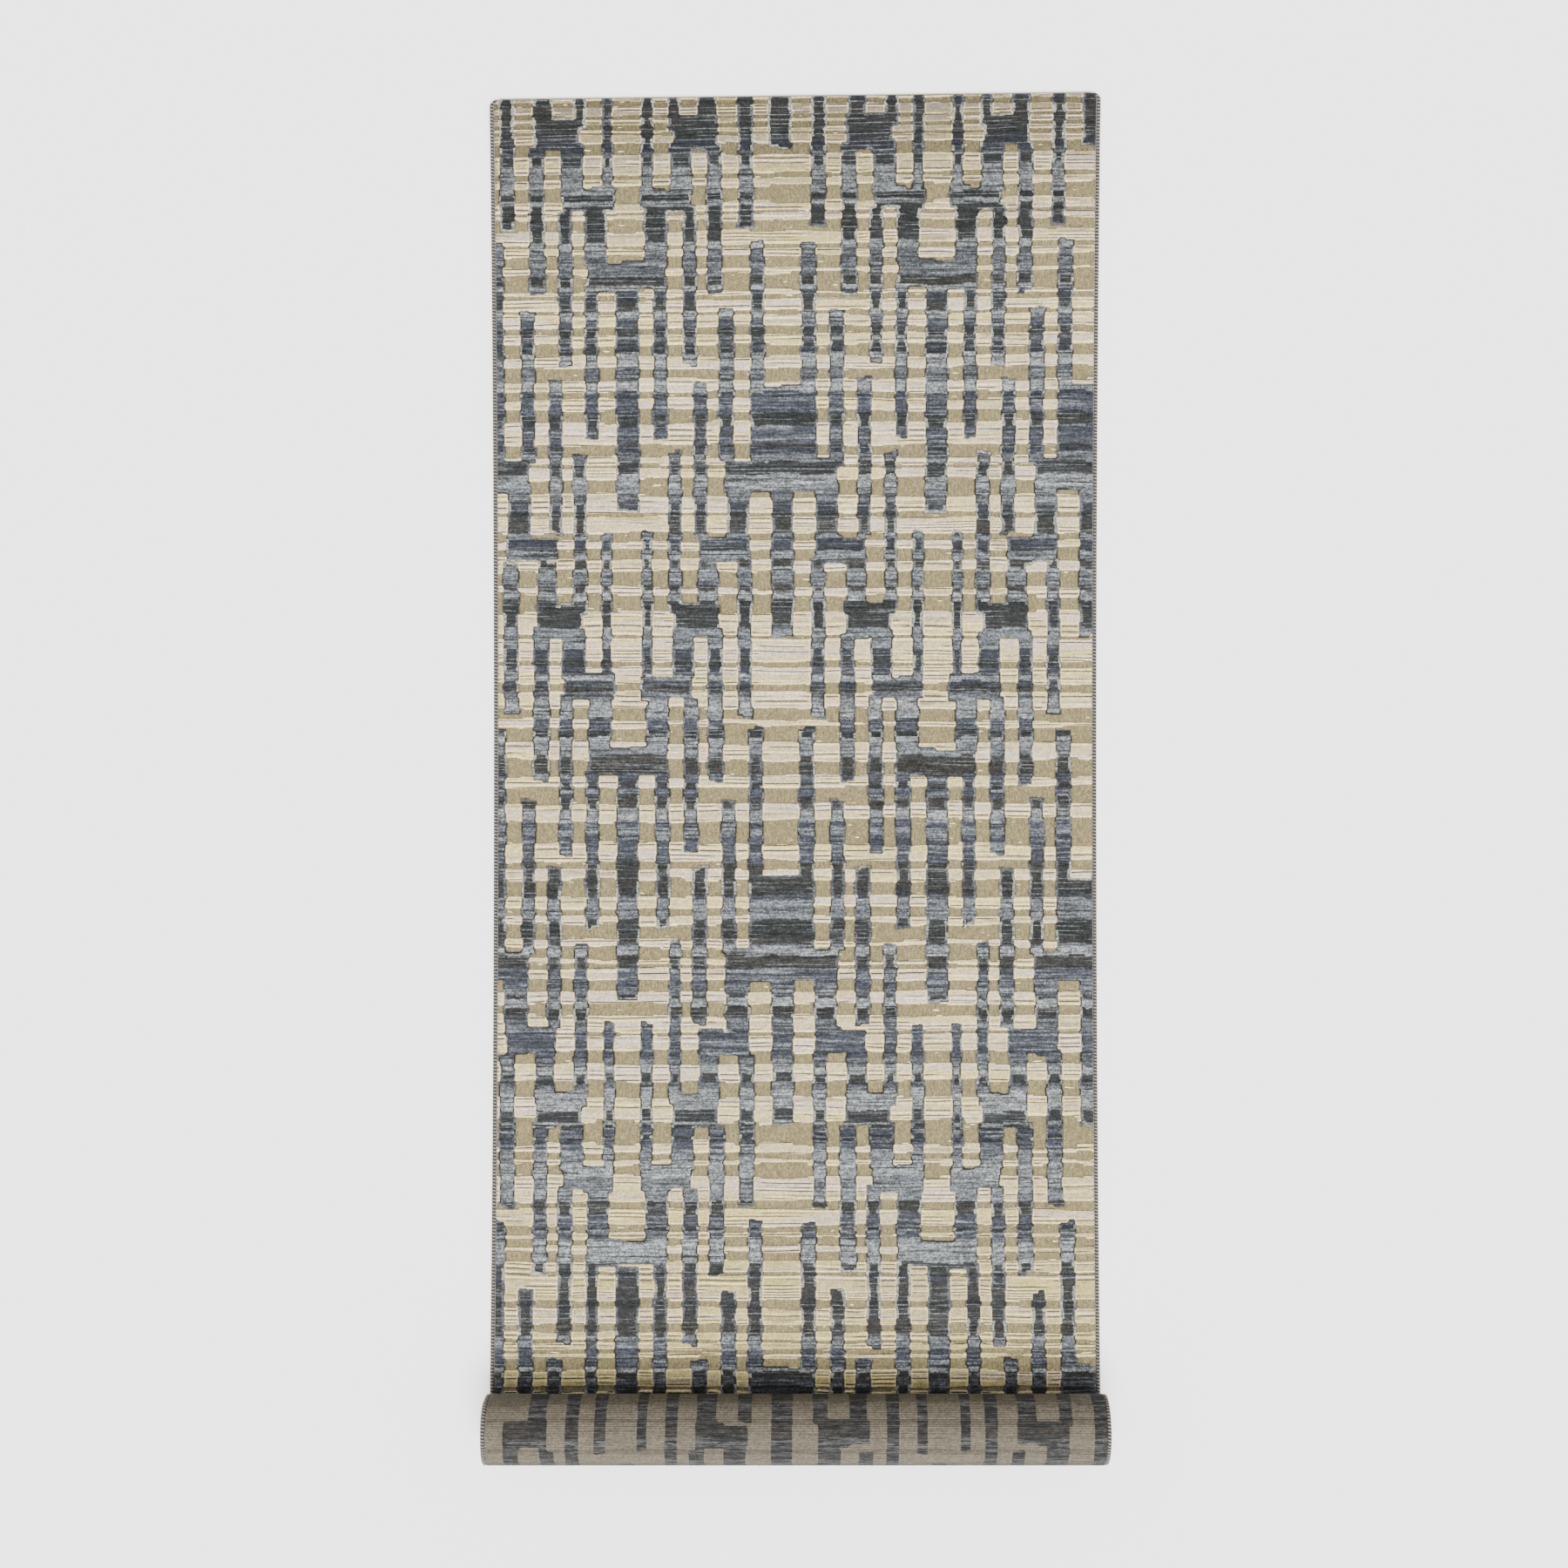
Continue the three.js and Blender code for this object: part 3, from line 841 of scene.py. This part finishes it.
def back_material():
    """The knotted back: each knot's base a small ridge, the design in duller colours."""
    n = Nodes("knotted_back", GREIGE)
    rug, zone, line, core, _, _ = design_inputs(n)
    knots = n.stretched(rug, 1 / (KNOT * MM), 1 / (KNOT * MM))
    cell = n.add("ShaderNodeVectorMath", {0: knots}, operation="FLOOR").outputs[0]
    own = n.add("ShaderNodeTexWhiteNoise", {"Vector": cell}).outputs["Value"]
    ribs, wefts = n.ridges(n.stretched(knots, math.pi, math.pi))
    jitter = n.times(n.math("SUBTRACT", own, 0.5), 0.6)
    colour = back_colour(n, rug, zone, line, core, jitter)
    colour = n.shade(colour, own, 0.0, 1.0, 0.80, 1.18)
    # painted shade in the grooves between the weft ribs
    colour = n.shade(colour, wefts, 0.0, 0.75, 0.42, 1.04)
    relief = n.times(n.plus(ribs, 0.6), wefts)
    return n.surface({
        "Base Color": colour,
        "Roughness": 0.9,
        "Specular IOR Level": 0.2,
        "Normal": n.bump(relief, 0.0004, 0.8),
    })


def yarn_material(name, dark, light, pitch):
    """Yarn wound round a cord: slanting turns, every second one light."""
    n = Nodes(name, light)
    rug = n.flat_map()
    around, along, _ = n.split(rug)
    phase = n.plus(n.times(along, 1 / (pitch * MM)), around)
    turn = n.math("FRACT", n.times(phase, 0.5))
    second = n.ramp(n.math("PINGPONG", n.plus(turn, 0.25), 0.5), 0.31, 0.38)
    twist = n.noise(n.stretched(rug, 6.0, 900.0), 1.0, 3.0, 0.6)
    colour = n.shade(n.mix(second, dark, light), twist, 0.3, 0.7, 0.8, 1.15)
    return n.surface({
        "Base Color": colour,
        "Roughness": 0.9,
        "Sheen Weight": 0.15,
        "Normal": n.bump(twist, 0.0003, 0.6),
    })


def cotton_material(name, colour, wide, long):
    """Undyed cotton in a plain weave, with threads wide and long millimetres apart."""
    n = Nodes(name, colour)
    rug = n.flat_map()
    across, along = n.ridges(n.stretched(rug, math.pi / (wide * MM), math.pi / (long * MM)))
    weave = n.math("MAXIMUM", across, along)
    fuzz = n.noise(rug, 1500.0, 3.0, 0.6)
    # painted shade in the gaps between the threads
    base = n.shade(colour, weave, 0.2, 1.0, 0.7, 1.05)
    base = n.shade(base, fuzz, 0.3, 0.7, 0.9, 1.08)
    return n.surface({"Base Color": base, "Roughness": 0.92, "Normal": n.bump(weave, 0.0003, 0.7)})


# ---- Pieces

LANES = 6
EDGE_STEPS = np.array([0.0, 0.25, 0.8, 1.6, 2.7, 4.0])      # columns and rows close to an edge
EDGE_CLEAR = 0.5         # least distance from the last of them to the next
ROLL_STEP = 2.0          # between the rows of the pile in the roll, and its columns near the sides
FLAT_BACK_STEP = 14.0    # between the back's rows where it lies on the floor
INNER_BACK_STEP = 6.0    # and inside the roll
BACK_COLUMNS = 294
WEB_COLUMNS = 190
WRAP_STEP = 0.52         # from ring to ring along the overcasting, four to each turn of its yarn
CORD_STEP = 3.0
TUBE_SIDES = 12
THREAD_SIDES = 8
STITCH_POINTS = 6        # rings to each stitch


def edge_drop(s, x, level):
    """Pulls the pile down to its foundation along the sides and the head end."""
    from_edge = np.minimum(HALF_WIDTH - np.abs(x)[None, :], s[:, None])
    t = np.clip(from_edge / PILE_ROUND, 0, 1)
    share = np.sqrt(1 - (1 - t) ** 2)
    base = FOUNDATION_THICK + PILE_ROOT
    return base + (level - base) * share


def lane_columns(lane):
    """The columns of one lane of pile, with close ones along the rug's side."""
    count = len(X) - 1
    first, last = round(lane * count / LANES), round((lane + 1) * count / LANES)
    columns = X[first:last + 1]
    left_steps = X[0] + EDGE_STEPS
    right_steps = X[-1] - EDGE_STEPS[::-1]
    if lane == 0:
        columns = np.concatenate([left_steps, columns[columns > left_steps[-1] + EDGE_CLEAR]])
    if lane == LANES - 1:
        columns = np.concatenate([columns[columns < right_steps[0] - EDGE_CLEAR], right_steps])
    return columns


def roll_columns():
    """Columns that are close near the rug's two sides and far apart between them."""
    near = np.concatenate([EDGE_STEPS, np.arange(6.0, 60.0, ROLL_STEP)])
    middle = np.linspace(-HALF_WIDTH + 70, HALF_WIDTH - 70, 24)
    return np.concatenate([-HALF_WIDTH + near, middle, (HALF_WIDTH - near)[::-1]])


def flat_rows():
    """Rows of the flat part, with close ones at the head end."""
    even = S[(S > EDGE_STEPS[-1] + EDGE_CLEAR) & (S < FLAT_LENGTH - EDGE_CLEAR)]
    return np.concatenate([EDGE_STEPS, even, [FLAT_LENGTH]])


def finish_piece(obj, material, slot_name, *nodes):
    """Material, body and the CAD nodes that the piece stands for; slot_name is not used."""
    obj.data.materials.append(material)
    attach(obj, "root")
    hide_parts(*nodes)
    return obj


def pile_slab(name, fields, s, x, highest, folds, material):
    """One slab of pile over rows s and columns x, nowhere above the level highest."""
    here = sampled(fields, s, x)
    level = edge_drop(s, x, np.minimum(here["height"], highest))
    obj = sheet_solid(name, s, x, level, FOUNDATION_THICK + PILE_LIFT, True, folds)
    paint(obj, here)
    return finish_piece(obj, material, "raised_pile_yarn", "ground_pile", "raised_pile")


def make_pile(fields, material):
    """The face of the rug, in lanes side by side, and the pile inside the roll."""
    made = []
    for lane in range(LANES):
        name = f"pile_lane_{lane + 1}"
        made.append(pile_slab(name, fields, flat_rows(), lane_columns(lane), math.inf, 4, material))
    s = np.append(np.arange(FLAT_LENGTH, LENGTH - 2.5, ROLL_STEP), LENGTH)
    made.append(pile_slab("pile_in_roll", fields, s, roll_columns(), RAISED_TOP, 2, material))
    return made


def make_foundation(fields, material):
    """The woven sheet with the knots' bases, flat and rolled in one. Its rows lie one knot apart
    where they show, on the roll's outer turn."""
    outer_turn = FLAT_LENGTH + 2 * math.pi * (ROLL_RADIUS - ROLL_PITCH / 2)
    s = np.concatenate([
        np.arange(0, FLAT_LENGTH - 20, FLAT_BACK_STEP),
        np.arange(FLAT_LENGTH - 10, outer_turn, KNOT),
        np.arange(outer_turn, LENGTH - 5, INNER_BACK_STEP),
        [LENGTH],
    ])
    x = np.linspace(-HALF_WIDTH, HALF_WIDTH, BACK_COLUMNS)
    wobble = 0.12 * noise(s, x, 45, 90, 81)
    obj = sheet_solid("foundation_weave", s, x, -np.abs(wobble), FOUNDATION_THICK, False, 1)
    paint(obj, sampled(fields, s, x))
    return finish_piece(obj, material, "foundation_weave", "foundation")


def tube(name, s, x, half, ridge):
    """A closed tube along one side of the sheet: an ellipse of half[0] by half[1], with ridges."""
    rows, sides = len(s), TUBE_SIDES
    turn = ring_angles(sides)
    swell = ridge(s[:, None], turn[None, :])
    across = x + half[0] * swell * np.cos(turn)[None, :]
    level = SIDE_LEVEL + half[1] * swell * np.sin(turn)[None, :]
    points = place(s[:, None], across, level).reshape(-1, 3)
    quads, caps = ring_faces(rows, sides)
    obj = mesh_object(name, points, quads, caps)
    r, c = (corners[:, TURNED] for corners in grid_corners(rows, sides + 1))
    wall = np.stack([c / sides, s[r] * MM], axis=-1).reshape(-1, 2)
    around = np.arange(sides) / sides
    ends = [np.stack([around, np.full(sides, end * MM)], axis=-1) for end in (s[0], s[-1])]
    add_uv(obj, "rug", np.concatenate([wall, *ends]))
    add_uv(obj, "OFBake", tube_layout(rows, sides, r, c))
    return obj


def tube_layout(rows, sides, r, c):
    """Bake map of a tube: its length in folds side by side, then a small ring for each end."""
    folds = 24
    per_fold = math.ceil((rows - 1) / folds)
    fold = r[:, :1] // per_fold
    u = (fold + 0.08 + 0.84 * c / sides) / folds * 0.98
    v = 0.004 + 0.992 * (r - fold * per_fold) / per_fold
    turn = ring_angles(sides)
    ring = np.stack([0.99 + 0.006 * np.cos(turn), 0.006 * np.sin(turn)], axis=-1)
    ends = [ring + (0, 0.02), ring + (0, 0.05)]
    return np.concatenate([np.stack([u, v], axis=-1).reshape(-1, 2), *ends])


def wound_yarn(s, angle):
    """Radius of the overcasting, as a share: a groove between each turn and the next."""
    phase = s / WRAP_PITCH + angle / (2 * math.pi)
    return 1 - 0.13 * (1 - np.abs(np.sin(math.pi * phase)))


def twisted_strands(s, angle):
    """Radius of a cord of three strands, as a share."""
    return 1 - 0.16 * np.abs(np.sin(1.5 * (angle + s / 4)))


def make_sides(yarn, cotton):
    """Each side's cord of warps, and the yarn overcast round it."""
    made = []
    for side, word in ((-1, "left"), (1, "right")):
        x = side * WRAP_MIDDLE
        s = np.append(np.arange(1.0, LENGTH - 1, WRAP_STEP), LENGTH - 1)
        wrap = tube(f"{word}_overcasting", s, x, WRAP_HALF, wound_yarn)
        made.append(finish_piece(wrap, yarn, "overcasting_wool", f"{word}_side_overcasting"))
        s = np.append(np.arange(0.5, LENGTH - 1, CORD_STEP), LENGTH - 0.5)
        cord = tube(f"{word}_warp_cord", s, x, CORD_HALF, twisted_strands)
        made.append(finish_piece(cord, cotton, "warp_cotton", f"{word}_side_cord"))
    return made


def web_profile(end, beyond):
    """Side view of a turned-under web, as lengths and levels: its outside, then its inside."""
    reach = np.linspace(WEB_FOLD, 0.5, 12)
    under = np.ones(len(reach))
    bend = np.linspace(0, math.pi / 2, 6)
    lip = beyond * WEB_LIP
    inner = end + beyond * WEB_GAP
    outer_s = [*(end - beyond * reach), *(end + lip * np.sin(bend)), end + lip]
    outer_level = [*(-HEM_LIFT * under), *(-HEM_LIFT + WEB_LIP * (1 - np.cos(bend))), FOUNDATION_THICK]
    inner_s = [inner, inner, *(end - beyond * reach[::-1])]
    inner_level = [FOUNDATION_THICK, -WEB_GAP, *(-WEB_GAP * under)]
    return np.array(outer_s + inner_s), np.array(outer_level + inner_level)


def make_web(name, end, beyond, material, node):
    """A flat-woven end web, carried across the rug; beyond is 1 past the foot, -1 past the head."""
    s, level = web_profile(end, beyond)
    x = np.linspace(-HALF_WIDTH + 4, HALF_WIDTH - 4, WEB_COLUMNS)
    points = place(s[None, :], x[:, None], level[None, :]).reshape(-1, 3)
    quads, caps = ring_faces(len(x), len(s), beyond > 0)
    obj = mesh_object(name, points, quads, caps)
    travel = np.concatenate([[0], np.cumsum(np.hypot(np.diff(s), np.diff(level)))])
    flat = np.stack(np.meshgrid(travel, x), axis=-1)[..., ::-1].reshape(-1, 2)
    add_flat_map(obj, flat * MM)
    obj.data.set_sharp_from_angle(angle=WEB_CREASE)
    return finish_piece(obj, material, "warp_cotton", node)


def make_thread(name, middle, material, node):
    """A row of slanting stitches under the rug, as one sewing thread."""
    reach = HALF_WIDTH - STITCH_PITCH
    stitches = int(2 * reach / STITCH_PITCH) * 2
    t = np.linspace(0, stitches, stitches * STITCH_POINTS + 1)
    x = -reach + t * 2 * reach / stitches
    zig = np.abs((t % 2) - 1) * 2 - 1
    s = middle + 0.5 * STITCH_SWING * np.sin(zig * math.pi / 2)
    turn = ring_angles(THREAD_SIDES)
    ring_s = s[:, None] + THREAD_RADIUS * np.cos(turn)[None, :]
    level = THREAD_LEVEL + THREAD_RADIUS * np.sin(turn)[None, :]
    points = place(ring_s, x[:, None], level).reshape(-1, 3)
    quads, caps = ring_faces(len(t), THREAD_SIDES)
    obj = mesh_object(name, points, quads, caps)
    around = turn / 6.3      # from 0 to nearly 1
    flat = np.stack([np.tile(around, len(t)), np.repeat(x * MM, THREAD_SIDES)], axis=-1)
    add_flat_map(obj, flat)
    return finish_piece(obj, material, "sewing_thread", node)


# ---- Setting, in metres

CAMERA_PLACE = (-0.014, -0.015, 2.540)
LENS = 46.4              # and its sensor, in millimetres
SENSOR = 36.0
FLOOR_HALF = 60.0
FLOOR_DROP = 0.0005      # below the rug's underside
FLOOR_COLOUR = (0.92, 0.92, 0.92)
SKY_STRENGTH = 1.32
SUN_FROM = (0.10, -0.74, 1.36)
SUN_SPREAD = 0.75        # the angle that it fills, in radians
SUN_STRENGTH = 8.45


def make_camera():
    """Straight down from above the rug's middle."""
    data = bpy.data.cameras.new("camera")
    data.lens = LENS
    data.sensor_width = SENSOR
    camera = link(bpy.data.objects.new("camera", data))
    camera.location = CAMERA_PLACE
    bpy.context.scene.camera = camera


def make_floor():
    """A plain pale floor."""
    mesh = bpy.data.meshes.new("floor")
    corners = [(-1, -1), (1, -1), (1, 1), (-1, 1)]
    mesh.from_pydata([(x * FLOOR_HALF, y * FLOOR_HALF, 0) for x, y in corners], [], [(0, 1, 2, 3)])
    floor = link(bpy.data.objects.new("floor", mesh))
    floor.location.z = -FLOOR_DROP
    n = Nodes("pale_floor", FLOOR_COLOUR)
    mesh.materials.append(n.surface({"Base Color": colour4(FLOOR_COLOUR), "Roughness": 0.8}))


def make_light():
    """An even white sky, and one broad sun from beyond the roll."""
    world = bpy.data.worlds.new("studio")
    world.use_nodes = True
    background = world.node_tree.nodes["Background"]
    background.inputs["Color"].default_value = (1, 1, 1, 1)
    background.inputs["Strength"].default_value = SKY_STRENGTH
    bpy.context.scene.world = world
    data = bpy.data.lights.new("key", "SUN")
    data.angle = SUN_SPREAD
    data.energy = SUN_STRENGTH
    sun = link(bpy.data.objects.new("key", data))
    sun.rotation_euler = Vector(SUN_FROM).to_track_quat("Z", "Y").to_euler()


make_camera()
make_floor()
make_light()

fields = design()
pile = make_pile(fields, pile_material())
weave = make_foundation(fields, back_material())
cotton = cotton_material("warp_cotton", COTTON, 1.2, 1.2)
yarn = yarn_material("overcasting", OVERCAST_DARK, OVERCAST_LIGHT, WRAP_PITCH)
sides = make_sides(yarn, cotton)
webs = [
    make_web("head_web_turned_under", 0.0, -1, cotton, "head_web"),
    make_web("foot_web_turned_under", LENGTH, 1, cotton, "foot_web"),
]
thread = cotton_material("sewing_thread", THREAD, 0.5, 0.8)
threads = [
    make_thread("head_hem_stitches", THREAD_PLACE, thread, "head_hem_thread"),
    make_thread("foot_hem_stitches", LENGTH - THREAD_PLACE, thread, "foot_hem_thread"),
]
